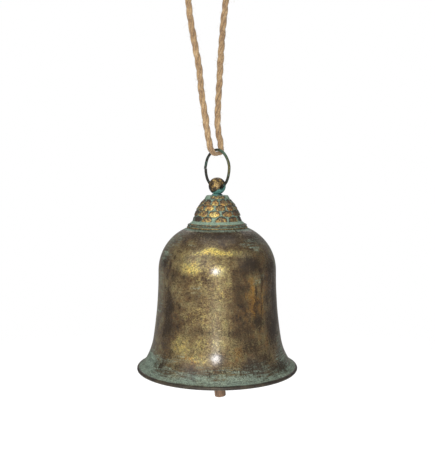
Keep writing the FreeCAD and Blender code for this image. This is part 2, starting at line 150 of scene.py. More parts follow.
# ---------------------------------------------------------------- materials
class Paint:
    """A Principled material, and short calls that add nodes to it and give back their outputs."""

    def __init__(self, name, **constants):
        self.material = bpy.data.materials.new(name)
        self.material.use_nodes = True
        tree = self.material.node_tree
        self.nodes, self.links = tree.nodes, tree.links
        self.shader = self.nodes["Principled BSDF"]
        for socket, value in constants.items():
            self.shader.inputs[socket.replace("_", " ")].default_value = value
        place = self.add("ShaderNodeTexCoord").outputs["Object"]
        self.place = self.add("ShaderNodeVectorMath", {0: place, 3: 1 / MM}, operation="SCALE").outputs[0]

    def add(self, kind, inputs=None, **settings):
        node = self.nodes.new(kind)
        for key, value in settings.items():
            setattr(node, key, value)
        for socket, value in (inputs or {}).items():
            self.feed(node.inputs[socket], value)
        return node

    def feed(self, socket, value):
        if isinstance(value, bpy.types.NodeSocket):
            self.links.new(value, socket)
        else:
            socket.default_value = value

    def sets(self, **wires):
        for socket, value in wires.items():
            self.feed(self.shader.inputs[socket.replace("_", " ")], value)

    def channels(self, name):
        """A mesh's colour attribute as four numbers."""
        source = self.add("ShaderNodeAttribute", attribute_name=name)
        split = self.add("ShaderNodeSeparateColor", {0: source.outputs["Color"]})
        return [*split.outputs[:3], source.outputs["Alpha"]]

    def noise(self, size, stretch=(1, 1, 1), detail=3.0, rough=0.6, twist=0.0, place=None):
        """Noise whose lumps are about size mm across, longer along an axis where stretch is under 1."""
        where = self.vectors("MULTIPLY", place or self.place, stretch)
        made = self.add("ShaderNodeTexNoise", {"Vector": where, "Scale": 1 / size, "Detail": detail})
        made.inputs["Roughness"].default_value = rough
        made.inputs["Distortion"].default_value = twist
        return made.outputs["Fac"]

    def maths(self, kind, a, b=0.0):
        return self.add("ShaderNodeMath", {0: a, 1: b}, operation=kind).outputs[0]

    def times(self, a, b):
        return self.maths("MULTIPLY", a, b)

    def larger(self, a, b):
        return self.maths("MAXIMUM", a, b)

    def vectors(self, kind, a, b, output="Vector"):
        return self.add("ShaderNodeVectorMath", {0: a, 1: b}, operation=kind).outputs[output]

    def total(self, start, *terms):
        """start plus weight x (amount - middle) of each term. A term leaves out a middle of 0.5."""
        for amount, weight, *middle in terms:
            less = -weight * (middle[0] if middle else 0.5)
            part = self.add("ShaderNodeMath", {0: amount, 1: weight, 2: less}, operation="MULTIPLY_ADD")
            start = self.maths("ADD", start, part.outputs[0])
        return start

    def step(self, value, low, high, to_low=0.0, to_high=1.0):
        node = self.add("ShaderNodeMapRange", {0: value, 1: low, 2: high, 3: to_low, 4: to_high})
        node.interpolation_type = "SMOOTHSTEP"
        return node.outputs[0]

    def ramp(self, value, *stops):
        node = self.add("ShaderNodeValToRGB", {0: value})
        elements = node.color_ramp.elements
        while len(elements) < len(stops):
            elements.new(0.5)
        for element, (at, colour) in zip(elements, stops):
            element.position = at
            element.color = rgb(colour)
        return node.outputs[0]

    def mix(self, share, a, b, kind="MIX"):
        a, b = (rgb(c) if isinstance(c, str) else c for c in (a, b))
        node = self.add("ShaderNodeMix", {0: share, 6: a, 7: b}, data_type="RGBA", blend_type=kind)
        return node.outputs[2]

    def blend(self, share, a, b):
        return self.add("ShaderNodeMix", {0: share, 2: a, 3: b}, data_type="FLOAT").outputs[0]

    def bump(self, height, depth, strength=1.0):
        """Roughens the surface. depth is in mm."""
        node = self.add("ShaderNodeBump", {"Height": height, "Distance": depth * MM, "Strength": strength})
        self.sets(Normal=node.outputs[0])


def shell_paint():
    """Antique brass: olive brown and gold, fine dark crackle, dark stains and verdigris, with painted
    highlights in the gold, painted shade on the sides and a painted grey-green sheen at the edges.
    """
    p = Paint("aged_shell_paint", Coat_Roughness=0.24, Specular_IOR_Level=0.25)
    gold, green, dark, rust = p.channels("patina_and_painted_light")
    clouds = p.noise(26, detail=3)
    mottle = p.noise(6.5, detail=5, rough=0.65)
    speck = p.noise(2.2, detail=2, rough=0.8)
    grain = p.noise(1.1, detail=3, rough=0.75)
    curl = p.noise(3.4, detail=2, rough=0.5, twist=2.2)
    line = p.step(p.maths("ABSOLUTE", p.maths("SUBTRACT", curl, 0.5)), 0.045, 0.0)
    line = p.times(line, p.step(p.total(clouds, (mottle, 0.8)), 0.35, 0.55))
    swirl = p.noise(6, stretch=(1, 1, 2), detail=3, rough=0.5, twist=2.5)
    scratch = p.step(p.maths("ABSOLUTE", p.maths("SUBTRACT", swirl, 0.5)), 0.045, 0.01)
    line = p.larger(line, p.times(scratch, 0.9))
    upright = p.noise(2.4, stretch=(1, 1, 0.07), detail=4, rough=0.65)
    level = p.noise(15, stretch=(1, 1, 12), detail=4, rough=0.65, twist=0.7)

    blotch = p.noise(13, detail=4, rough=0.55, twist=0.6)
    brushed = p.noise(1.7, stretch=(1, 1, 3.5), detail=3, rough=0.6, twist=0.8)
    ground = p.total(0.5, (mottle, 0.7), (clouds, 0.9), (blotch, 0.45), (speck, 0.8))
    # Painted highlight: where the gold spots lie, mostly on the front that faces the camera, the whole ground
    # is made lighter.
    ground = p.total(ground, (brushed, 1.0), (gold, 0.5, 0.08))
    colour = p.ramp(ground, (0.1, "2a1e11"), (0.4, "5d492c"), (0.62, "7f6e49"), (0.95, "a79a68"))
    brown = p.step(p.total(0.0, (p.noise(15, detail=4, rough=0.6), 1.0), (speck, 0.5)), 0.02, 0.22)
    colour = p.mix(p.times(brown, 0.35), colour, "5c4326")
    # The gilt follows the gold spots, so besides real gilt specks it carries their painted highlights, such as
    # the bright band across the shoulder.
    gilt_and_highlight = p.total(gold, (mottle, 0.9), (speck, 1.5), (grain, 2.0), (brushed, 1.2), (line, -0.5, 0.0))
    gilt_and_highlight_colours = p.ramp(gilt_and_highlight, (0.3, "7b6d42"), (0.75, "ab9c59"), (1.0, "e8d070"))
    ashen = p.step(p.total(0.0, (p.noise(2.8, detail=3, rough=0.7), 1.0), (grain, 0.8)), 0.0, 0.2)
    colour = p.mix(p.times(ashen, 0.28), colour, "6d6254")
    colour = p.mix(p.step(gilt_and_highlight, 0.35, 0.9), colour, gilt_and_highlight_colours)
    tint = p.total(p.noise(4, detail=4, rough=0.7), (speck, 0.3))
    tinted = p.total(0.2, (rust, 0.9, 0.0))
    tints = p.ramp(tint, (0.36, "cbdfc6"), (0.48, "ffffff"), (0.62, "ffc68a"))
    colour = p.mix(tinted, colour, tints, "MULTIPLY")
    rust_share = p.step(p.total(rust, (upright, 1.6), (speck, 1.2)), 0.35, 0.85)
    colour = p.mix(p.times(rust_share, 0.7), colour, p.ramp(upright, (0.35, "7e5022"), (0.6, "b08133")))
    # The green share holds real verdigris and a painted grey-green sheen at the shell's edges.
    green_and_sheen_share = p.step(p.total(green, (level, 1.8), (mottle, 0.8), (speck, 0.8)), 0.3, 0.85)
    chalky = p.total(0.5, (level, 1.0), (speck, 0.6))
    verdigris = p.ramp(chalky, (0.25, "586c61"), (0.5, "7f9283"), (0.8, "a4b6a4"))
    colour = p.mix(p.times(green_and_sheen_share, 0.8), colour, verdigris)
    # The dark share holds real stains and the painted shade of the shell's sides.
    dark_and_shade_share = p.step(p.total(dark, (mottle, 1.2), (upright, 1.7), (speck, 1.2), (grain, 1.0)), 0.3, 0.85)
    colour = p.mix(p.times(dark_and_shade_share, 0.9), colour, p.ramp(speck, (0.3, "1f150b"), (0.7, "4c381e")))
    fleck = p.step(p.total(dark, (grain, 3.0), (brushed, 2.4), (speck, 1.0)), 0.5, 0.85)
    fleck = p.larger(fleck, line)
    colour = p.mix(p.times(fleck, 0.75), colour, "1c150d")

    dull = p.larger(green_and_sheen_share, p.times(dark_and_shade_share, 0.6))
    p.sets(Base_Color=colour, Metallic=p.blend(dull, 0.5, 0.05))
    p.sets(Roughness=p.total(p.blend(dull, 0.42, 0.75), (speck, 0.4)))
    p.sets(Coat_Weight=p.blend(p.larger(dull, p.times(fleck, 0.8)), 0.9, 0.05))
    p.bump(p.total(0.0, (speck, 0.9), (brushed, 0.8), (fleck, -0.3, 0.0), (mottle, 0.7)), 0.4, 0.7)
    return p.material


def inside_paint():
    """Dull brown with verdigris in level bands."""
    p = Paint("bell_inside_paint", Metallic=0.45)
    mottle = p.noise(8, detail=5, rough=0.65)
    level = p.noise(20, stretch=(1, 1, 9), detail=3, twist=0.7)
    grain = p.noise(1.6, detail=3)
    shade = p.total(0.5, (mottle, 0.8), (level, 0.6))
    colour = p.ramp(shade, (0.25, "2a241b"), (0.5, "4b4030"), (0.8, "6f6244"))
    green = p.step(p.total(0.0, (mottle, 1.0), (level, 1.2), (grain, 0.6)), 0.12, 0.4)
    colour = p.mix(p.times(green, 0.6), colour, "6f8f80")
    p.sets(Base_Color=colour, Roughness=p.blend(green, 0.55, 0.85))
    p.bump(p.total(0.0, (mottle, 1.0), (grain, 0.4)), 0.3, 0.5)
    return p.material


def bead_paint():
    """The rolled edge: nearly black, rubbed in places."""
    p = Paint("rolled_edge_paint", Metallic=0.5, Roughness=0.55)
    patch = p.noise(9, detail=3)
    grain = p.noise(1.4, detail=2)
    shade = p.total(0.5, (patch, 1.0), (grain, 0.6))
    colour = p.ramp(shade, (0.35, "2b2621"), (0.6, "453d31"), (0.85, "6c6149"))
    p.sets(Base_Color=p.mix(p.step(shade, 0.2, 0.05), colour, "5d7f72"))
    p.bump(grain, 0.2, 0.6)
    return p.material


def crown_paint():
    """Cast relief: verdigris in the hollows, dark edges, orange and gold where it is worn, with painted light
    on the scales' lower halves and on those near the front, and painted shadow along their upper edges.
    """
    p = Paint("aged_crown_paint", Coat_Weight=0.15, Coat_Roughness=0.35)
    relief, tone, soot_and_shade, _ = p.channels("relief")
    grain = p.noise(0.9, detail=3, rough=0.7)
    mottle = p.noise(2.4, detail=4, rough=0.7)
    blotch = p.noise(1.7, detail=2, rough=0.6, twist=0.8)
    high = p.total(relief, (mottle, 1.1), (grain, 0.7))
    damp = p.total(0.5, (mottle, 1.2), (grain, 0.9))
    hollow = p.ramp(damp, (0.12, "3e4a41"), (0.35, "667b6a"), (0.62, "8aa08b"), (0.9, "adbda6"))
    # The tone carries the scales' painted light along with their wear.
    wear_and_light_tone = p.total(tone, (mottle, 1.8), (grain, 1.4), (blotch, 1.4))
    warm = p.ramp(wear_and_light_tone, (0.05, "3c3223"), (0.3, "6a573a"), (0.52, "8f784d"), (0.75, "b8a25f"), (0.95, "efdc84"))
    hue = p.step(p.total(0.0, (p.noise(4.5, detail=2), 1.0), (grain, 0.4)), -0.02, 0.14)
    warm = p.mix(p.times(hue, 0.45), warm, p.mix(1.0, warm, "ffae6e", "MULTIPLY"))
    edge = p.ramp(grain, (0.3, "1d1712"), (0.7, "3f3226"))
    colour = p.mix(p.step(high, 0.14, 0.28), hollow, edge)
    colour = p.mix(p.step(high, 0.32, 0.5), colour, warm)
    # Soot and painted shadow: dark along the scales' upper edges and on the dark scales.
    soot_and_shadow_share = p.step(p.total(soot_and_shade, (grain, 0.8), (mottle, 0.9)), 0.35, 0.65)
    colour = p.mix(p.times(soot_and_shadow_share, 0.9), colour, edge)
    # In the crown this share is wear alone: bare metal on the raised scales clear of soot.
    wear_and_front_light = p.times(p.step(high, 0.4, 0.62), p.maths("SUBTRACT", 1.0, soot_and_shadow_share))
    p.sets(Base_Color=colour, Metallic=p.blend(wear_and_front_light, 0.05, 0.5), Roughness=p.blend(wear_and_front_light, 0.75, 0.45))
    p.bump(p.total(0.0, (grain, 0.7), (mottle, 1.0), (blotch, 0.6)), 0.6, 0.9)
    return p.material


def ball_paint():
    """Brown and gold, with a teal band low on the side that faces the camera's right, and painted light:
    lighter toward the camera, darker away from it.
    """
    p = Paint("ball_paint")
    centre = (0, 0, (MOUTH + 0.1736) / MM)
    seen_right = Vector((math.cos(FRONT + TURN / 4), math.sin(FRONT + TURN / 4), 0))
    low_right = seen_right * 0.5 - Vector((0, 0, 0.866))
    from_centre = p.vectors("SUBTRACT", p.place, centre)
    depth = p.vectors("DOT_PRODUCT", from_centre, low_right, "Value")
    grain = p.noise(0.8, detail=3)
    mottle = p.noise(3.6, detail=3, rough=0.6)
    # Painted light: the ball is darkened all round, least on the side that faces the camera and a little up.
    outward = p.vectors("DOT_PRODUCT", from_centre, (math.cos(FRONT), math.sin(FRONT), 0.25), "Value")
    wear_and_front_light = p.step(outward, 2.0, 7.5, -0.34, -0.04)
    shade = p.total(0.44, (mottle, 2.0), (grain, 1.2), (wear_and_front_light, 1.0, 0.0))
    colour = p.ramp(shade, (0.1, "241e16"), (0.34, "57452c"), (0.58, "8f7546"), (0.85, "d0b265"))
    deep = p.total(depth, (mottle, 2.6), (grain, 1.0))
    colour = p.mix(p.times(p.step(deep, 1.0, 2.6), 0.8), colour, "1c1f1a")
    band = p.step(deep, 2.9, 3.6)
    teal = p.ramp(p.total(0.5, (grain, 1.0), (mottle, 0.8)), (0.25, "2f5856"), (0.75, "61978b"))
    colour = p.mix(band, colour, p.mix(p.step(deep, 6.2, 8.2), teal, "24403f"))
    p.sets(Base_Color=colour, Metallic=p.blend(band, 0.45, 0.1), Roughness=p.blend(band, 0.5, 0.75))
    p.bump(p.total(0.0, (grain, 0.5), (mottle, 0.6)), 0.25, 0.6)
    return p.material


def wire_paint():
    """Dark wire: grey black on one side and olive on the other, partly its own colour and partly painted shade
    on the grey black side and painted light on the olive; green near its top.
    """
    p = Paint("dark_wire_paint", Metallic=0.65)
    grain = p.noise(0.7, detail=3)
    mottle = p.noise(4, detail=3)
    split = p.add("ShaderNodeSeparateXYZ", {0: p.place})
    # Painted light and shade: the wire is olive and lighter on one side, grey black as if in shade on the
    # other.
    olive = p.step(p.total(split.outputs[0], (mottle, 12.0)), -2.0, 7.0)
    olive = p.times(olive, p.step(split.outputs[2], -202, -192))
    black = p.ramp(grain, (0.3, "1d1c18"), (0.7, "3c3931"))
    colour = p.mix(olive, black, p.ramp(grain, (0.3, "3a3723"), (0.7, "6b6542")))
    crest = p.times(p.step(split.outputs[2], -186, -178, 0.0, 0.14), p.step(split.outputs[0], -1.0, 2.0))
    green = p.step(p.total(crest, (mottle, 1.0), (grain, 0.8)), 0.06, 0.18)
    colour = p.mix(p.times(green, 0.6), colour, "4f776a")
    p.sets(Base_Color=colour, Roughness=p.step(grain, 0.3, 0.7, 0.4, 0.6))
    p.bump(grain, 0.12, 0.6)
    return p.material


def steel_paint():
    """Dulled zinc plate."""
    p = Paint("plated_steel_paint", Metallic=0.9)
    grain = p.noise(0.8, detail=3)
    mottle = p.noise(3, detail=3)
    shade = p.total(0.5, (mottle, 1.2), (grain, 0.5))
    colour = p.ramp(shade, (0.25, "6b6355"), (0.55, "8f8b80"), (0.85, "aaa69b"))
    p.sets(Base_Color=colour, Roughness=p.step(grain, 0.3, 0.7, 0.35, 0.55))
    p.bump(grain, 0.06, 0.5)
    return p.material


def fibre_paint():
    """Red brown pressed fibre."""
    p = Paint("fibre_paint", Roughness=0.75)
    grain = p.noise(0.6, detail=3)
    p.sets(Base_Color=p.ramp(grain, (0.3, "5a2c1e"), (0.7, "7c4330")))
    p.bump(grain, 0.08, 0.6)
    return p.material


def wood_paint(tilt):
    """Stained hardwood, its grain along the striker."""
    p = Paint("striker_wood_paint", Roughness=0.6)
    turned = p.add("ShaderNodeVectorRotate", {"Vector": p.place, "Angle": -tilt}, rotation_type="X_AXIS")
    local = turned.outputs[0]
    rings = p.add("ShaderNodeTexWave", {"Vector": local, "Scale": 0.55, "Distortion": 2.5, "Detail": 2.0})
    rings.wave_type = "RINGS"
    rings.rings_direction = "Z"
    streak = p.noise(0.8, stretch=(1, 1, 0.05), detail=4, place=local)
    patch = p.noise(9, stretch=(1, 1, 0.4), detail=3, place=local)
    shade = p.total(0.5, (streak, 0.9), (rings.outputs["Fac"], 0.35), (patch, 0.6))
    p.sets(Base_Color=p.ramp(shade, (0.2, "453424"), (0.5, "72563f"), (0.8, "947252")))
    p.bump(p.total(0.0, (streak, 1.0), (rings.outputs["Fac"], 0.4)), 0.25, 0.6)
    return p.material


def jute_paint():
    """Fibres run along each strand. The coat attribute holds (round, along, depth) of the strand."""
    p = Paint("jute_paint", Roughness=0.95, Sheen_Weight=0.25, Sheen_Roughness=0.6)
    round_it, along, depth, _ = p.channels("coat")
    where = p.add("ShaderNodeCombineXYZ", {0: round_it, 1: along, 2: depth}).outputs[0]
    fibres = p.noise(0.09, stretch=(1, 0.045, 1), detail=3, rough=0.7, place=where)
    patch = p.noise(7, detail=3)
    shade = p.total(0.5, (fibres, 1.4), (patch, 0.9))
    colour = p.ramp(shade, (0.15, "5f4531"), (0.38, "876a4b"), (0.6, "a5875f"), (0.85, "cbaf85"))
    # Painted shade: darker where each strand turns in toward the others, in the grooves between strands.
    colour = p.mix(p.step(depth, 0.6, 0.15, 0.0, 0.55), colour, "594230")
    p.sets(Base_Color=colour)
    p.bump(fibres, 0.35, 0.9)
    return p.material


def fuzz_paint():
    p = Paint("jute_fuzz_paint", Roughness=0.9)
    p.sets(Base_Color=p.ramp(p.noise(4, detail=2), (0.35, "a08a68"), (0.65, "c6b18c")))
    return p.material


# ---------------------------------------------------------------- shell
SEAT, SHEET, BORE = (27.8, 134.6), 1.2, 2.55
WAIST, SKIRT, FLARE, LIP = (55.7, 94.0), (60.6, 30.0), (69.0, 7.5), (74.4, 2.57)
RIM, RIM_FOOT, LIP_INSIDE, BEAD = (76.4, 0.9), (74.7, -0.8), (73.3, 1.85), 1.7

# Where the gold, rust, dark stains and verdigris gather on the side that faces the camera, with light and shade
# painted in among them: the gold spots also hold painted highlights, the dark spots painted shade toward the
# sides, and the green spots a painted grey-green sheen at the edges. Each is: angle from FRONT in degrees,
# height in mm, half its width in degrees, half its height in mm, strength.
GOLD_AND_HIGHLIGHTS = [
    # The first spot, a wide bright band across the shoulder, is a painted highlight.
    (-4, 116.4, 26, 3.0, 1.25), (-25, 103, 14, 7, 1.05), (0, 101, 12, 10, 0.7), (4, 84, 12, 16, 0.5),
    (-10, 60, 20, 16, 0.42), (-33, 33, 12, 9, 0.65), (-8, 36, 18, 14, 0.5), (6, 50, 10, 18, 0.42),
    (-20, 22, 12, 6, 0.65), (16, 27, 10, 8, 0.45), (-38, 112, 10, 8, 0.45), (36, 88, 6, 14, 0.45),
    (50, 66, 12, 30, 0.3), (-14, 84, 14, 16, 0.35), (-78, 60, 8, 40, 0.3),
]
RUST = [
    (35, 74, 8, 24, 0.8), (45, 66, 6, 22, 0.7), (-22, 21, 8, 6, 0.6), (17, 27, 8, 6, 0.6),
    (-40, 55, 6, 22, 0.35), (60, 60, 8, 30, 0.35), (-30, 100, 8, 10, 0.3), (46, 78, 9, 18, 0.55),
    (50, 36, 8, 9, 0.6), (64, 102, 8, 10, 0.45), (24, 60, 10, 20, 0.3), (38, 40, 10, 12, 0.35),
    (48, 108, 12, 8, 0.4), (56, 88, 7, 20, 0.6), (62, 30, 9, 12, 0.4), (30, 84, 10, 16, 0.3),
    (58, 70, 14, 40, 0.25),
]
DARK_AND_SHADE = [
    # The spots toward the sides hold painted shade as well as stains.
    (0, 131, 60, 5.5, 0.8), (50, 128, 30, 5, 0.6), (34, 105, 12, 9, 1.0), (62, 96, 12, 14, 0.85),
    (26, 96, 8, 8, 0.6), (-42, 95, 7, 9, 0.6), (-62, 106, 8, 7, 0.8), (-50, 62, 6, 28, 0.95),
    (-52, 46, 10, 12, 0.9), (-44, 20, 8, 12, 0.5), (-16, 46, 10, 5, 0.6), (20, 47, 16, 9, 0.65),
    (60, 44, 10, 17, 1.05), (37, 67, 2.5, 12, 0.7), (-38, 68, 2.5, 4, 0.7), (-48, 10, 16, 5, 0.6),
    (58, 10, 15, 5, 0.75), (-2, 10, 30, 3, 0.45), (30, 11, 12, 4, 0.7), (-34, 14, 8, 4, 0.6),
    (56, 74, 6, 26, 0.5), (2, 26, 9, 6, 0.5), (1, 19, 7, 5, 0.45), (18, 28, 9, 9, 0.45), (22, 78, 9, 26, 0.5),
    (68, 66, 9, 36, 0.85), (28, 32, 13, 9, 0.7), (42, 20, 14, 8, 0.55), (-52, 74, 4, 20, 0.6),
    (28, 16, 16, 7, 0.8), (-50, 14, 9, 6, 0.8), (4, 13, 13, 4, 0.6), (-20, 13, 12, 4, 0.5),
    (-63, 133.4, 2, 1.6, 1.8), (34, 133.2, 2, 1.6, 1.8), (43, 133.2, 2, 1.6, 1.8), (40, 64, 4, 14, 0.55),
    (-33, 94, 3.5, 4, 0.7), (-19, 77, 5, 4, 0.6), (41, 54, 8, 7, 0.95), (-38, 120, 12, 4, 0.45),
    (14, 66, 7, 9, 0.35), (44, 100, 5, 2.5, 0.7),
]
# Thin dark scratches, straighter than the stains.
STROKES = [
    (-42, 116, 5, 1.6, 0.75), (-47, 111, 2.6, 3.5, 0.8), (-51, 103, 2.0, 5, 0.8), (-55, 94, 1.8, 6, 0.75),
    (-59, 83, 1.8, 7, 0.7), (38, 80, 1.7, 9, 0.75), (46, 88, 1.7, 8, 0.7), (45, 66, 1.7, 10, 0.65),
    (52, 52, 1.8, 12, 0.7), (-36, 62, 1.6, 9, 0.45), (41, 48, 1.6, 6, 0.6),
]
GREEN_AND_SHEEN = [
    # The spots near the edges hold a painted grey-green sheen as well as verdigris.
    (-62, 125, 18, 7, 0.5), (62, 126, 14, 6, 0.45), (-36, 122, 10, 4, 0.35), (45, 90, 3, 8, 0.5),
    (50, 118, 9, 5, 0.5), (48, 123, 22, 5, 0.6), (-68, 88, 12, 14, 0.35), (-74, 122, 14, 8, 0.4),
    (-20, 85, 4, 4, 0.45), (-17, 77, 5, 4, 0.4), (38, 92, 4, 10, 0.35), (-66, 12, 24, 9, 0.75),
    (70, 18, 14, 12, 0.45), (30, 14, 16, 6, 0.45), (-20, 10, 20, 4, 0.3), (72, 30, 10, 14, 0.4),
    (80, 110, 12, 14, 0.4), (-64, 110, 10, 12, 0.6), (-66, 66, 10, 16, 0.35), (4, 8, 40, 4, 0.5),
    (8, 13, 26, 4, 0.35), (-40, 20, 14, 6, 0.35), (60, 9, 18, 4, 0.5), (-78, 64, 7, 40, 0.3),
    (-6, 128, 34, 5, 0.3),
]


def shell_outline():
    """The shell's section in mm, out from the bore, down and back up inside, and its parts' point counts."""
    top = straight((BORE, SEAT[1]), SEAT, 14)
    outside = arc(SEAT, WAIST, -43.5, 40) + arc(WAIST, SKIRT, 420, 44)
    outside += arc(SKIRT, FLARE, 59.2, 18) + arc(FLARE, LIP, 13.7, 6)
    edge = arc(LIP, RIM, -BEAD, 5) + arc(RIM, RIM_FOOT, -BEAD, 5) + arc(RIM_FOOT, LIP_INSIDE, -BEAD, 5)
    up = [
        (FLARE, (FLARE[0] - SHEET, FLARE[1] - SHEET / 2), -14.9, 4),
        (SKIRT, (SKIRT[0] - SHEET, SKIRT[1]), -60.4, 12),
        (WAIST, (WAIST[0] - SHEET, WAIST[1]), -421.2, 24),
        (SEAT, (SEAT[0], SEAT[1] - SHEET), 42.3, 18),
    ]
    inside, last = [], LIP_INSIDE
    for _, end, bend, steps in up:
        inside += arc(last, end, bend, steps)
        last = end
    under = straight(last, (BORE, last[1]), 8)
    return [(BORE, SEAT[1])] + top + outside + edge + inside + under, len(top) + 1, len(outside), len(edge)


def spots(places, angle, height):
    """The strongest of the places at a point, fading outward."""
    best = 0.0
    for at, level, wide, high, strength in places:
        a = math.degrees(math.remainder(angle - FRONT - math.radians(at), TURN)) / wide
        h = (height - level) / high
        d = a * a + h * h
        if d < 4:
            best = max(best, strength * math.exp(-0.9 * d))
    return best


def patina_and_light_at(angle, radius, height):
    """How much gold, verdigris, dark stains and rust the shell has at a point. The gold holds painted
    highlights, the dark painted shade toward the sides and the green a painted sheen at the edges.
    """
    x, y = radius * math.cos(angle), radius * math.sin(angle)
    swirl = wander(x / 14, y / 14, height / 14)
    bent = angle + 0.1 * wander(x / 9 + 7, y / 9, height / 9), height + 2.6 * swirl
    behind = smooth(apart(angle), math.radians(70), math.radians(110))
    ragged = 0.35 * wander(x / 7 + 2, y / 7, height / 6)
    cloud = wander(x / 22 + 3, y / 22, height / 30) + ragged
    cloud_b = wander(x / 20, y / 20 + 9, height / 26) - ragged
    # The gold includes the painted highlights of its table.
    gold = spots(GOLD_AND_HIGHLIGHTS, *bent) + behind * 0.6 * smooth(cloud, -0.2, 0.6)
    rust = spots(RUST, *bent) + behind * 0.5 * smooth(cloud_b, 0.1, 0.6)
    dark = spots(DARK_AND_SHADE, *bent) + behind * 0.55 * smooth(-cloud, 0.0, 0.6)
    dark += behind * 0.6 * smooth(height, 124, 132)
    dark = max(dark, spots(STROKES, angle + 0.03 * wander(x / 6, y / 6, height / 14), height))
    green = spots(GREEN_AND_SHEEN, *bent) + behind * 0.4 * smooth(-cloud_b, 0.0, 0.7)
    lip = smooth(height, 8, 3) * 0.48 + smooth(height, 26, 5) * 0.34
    seam = smooth(height, 132.2, 133.6) * 0.9
    # Painted sheen: grey-green added from about 45 degrees away from the front onward, so the edges look
    # greyer.
    side = smooth(apart(angle), math.radians(45), math.radians(75)) * 0.12
    # Painted shade: the right side, away from the lamps, is made darker.
    right = smooth(math.remainder(angle - FRONT, TURN), math.radians(15), math.radians(60))
    dark += right * (1 - behind) * 0.12
    return gold, min(1.0, green + lip + seam + side), dark * (1 - 0.6 * seam), rust


def make_shell():
    outline, top, outside, edge = shell_outline()

    def dent(i, angle, radius, height):
        """Long shallow dents and small hammer marks."""
        if radius < 30:
            return 0.0
        x, y = math.cos(angle), math.sin(angle)
        slow = 0.22 * wander(1.3 * x, 1.3 * y, height / 60)
        hammered = 0.07 * wander(5 * x, 5 * y, height / 13)
        return (slow + hammered) * smooth(radius, 30, 44)

    segments = 384
    points, faces = lathe(outline, segments, dent)
    count, metal_end, bead_end = len(outline), top + outside, top + outside + edge
    paint_of = [0 if i < metal_end - 1 else 1 if i < bead_end - 1 else 2 for i in range(count)] * segments
    paints = [shell_paint(), bead_paint(), inside_paint()]
    shell = piece("bell_shell_worn", points, faces, "bell", paints, ["bell_shell"], paint_of)
    clean = (0.0, 0.0, 0.0, 0.0)
    patina_and_painted_light = []
    for j in range(segments):
        for i, (radius, height) in enumerate(outline):
            patina_and_painted_light.append(patina_and_light_at(TURN * j / segments, radius, height) if i < metal_end + 1 else clean)
    give(shell, "patina_and_painted_light", patina_and_painted_light)


# ---------------------------------------------------------------- crown
CAP_LOW = 137.8
CAP_TOP = CAP_LOW + 23.5

# Rows of cast scales: height of the row's middle in mm, then for each scale that is seen its angle from FRONT
# in degrees and its tone, from 0 dark to 1 gold. The seen tones are lighter near the front and darker toward
# the sides, so they hold painted light as well as the scales' own colour.
SCALES = [
    (142.7, {-56: 0.0, -26: 0.8, 10: 0.5, 43: 0.4, 74: 0.15}),
    (148.6, {-40: 0.55, -8: 1.0, 28: 0.5, 60: 0.1}),
    (153.9, {-55: 0.4, -25: 0.95, 11: 0.35, 43: 0.3}),
    (158.6, {-39: 0.15, -6: 0.75, 25: 0.5, 55: 0.25}),
]
ROW_COUNT = 11  # scales in each row
SCALE_HALF = 3.15  # half a scale's height


def scale_rows():
    """Each row as a list of (angle, half width in degrees, tone), with the unseen ones spread evenly."""
    dice = random.Random(5)
    rows = []
    for height, seen in SCALES:
        missing = ROW_COUNT - len(seen)
        first, last = min(seen), max(seen)
        gap = (first + 360 - last) / (missing + 1)
        every = list(seen.items())
        every += [(last + gap * (k + 1) + dice.uniform(-2.5, 2.5), dice.random()) for k in range(missing)]
        rows.append((height, [(math.radians(a) + FRONT, dice.uniform(14.5, 17), tone) for a, tone in every]))
    return rows


def relief_at(rows, angle, height):
    """How high the casting stands at a point, from 0 to 1, the tone there with its painted light, and how dark
    it is from soot and painted shadow.
    """
    best, tone, soot_and_shade = 0.0, 0.5, 0.0
    for level, scales in rows:
        for at, wide, shade in scales:
            u = math.degrees(math.remainder(angle - at, TURN)) / wide
            v = (height - level - (shade - 0.5) * u) / SCALE_HALF
            if abs(u) > 1.3 or abs(v) > 1.4:
                continue
            arch = (abs(u) ** 2.1 + abs(v) ** 2.0) if v > 0 else (abs(u) ** 2.6 + abs(v) ** 3.0)
            rise = smooth(arch, 1.1, 0.35) * (0.85 - 0.15 * v)
            if rise > best:
                # Painted light and shadow: each scale's lower half is made lighter and its upper edge darker,
                # on top of its dark patina.
                best, tone = rise, 0.12 + 0.55 * shade - 0.25 * v
                soot_and_shade = smooth(v, 0.0, 0.5) * smooth(arch, 0.3, 0.7) * (0.9 - 0.4 * shade)
                soot_and_shade += 0.5 * smooth(shade, 0.12, 0.0)
    return best, tone, soot_and_shade


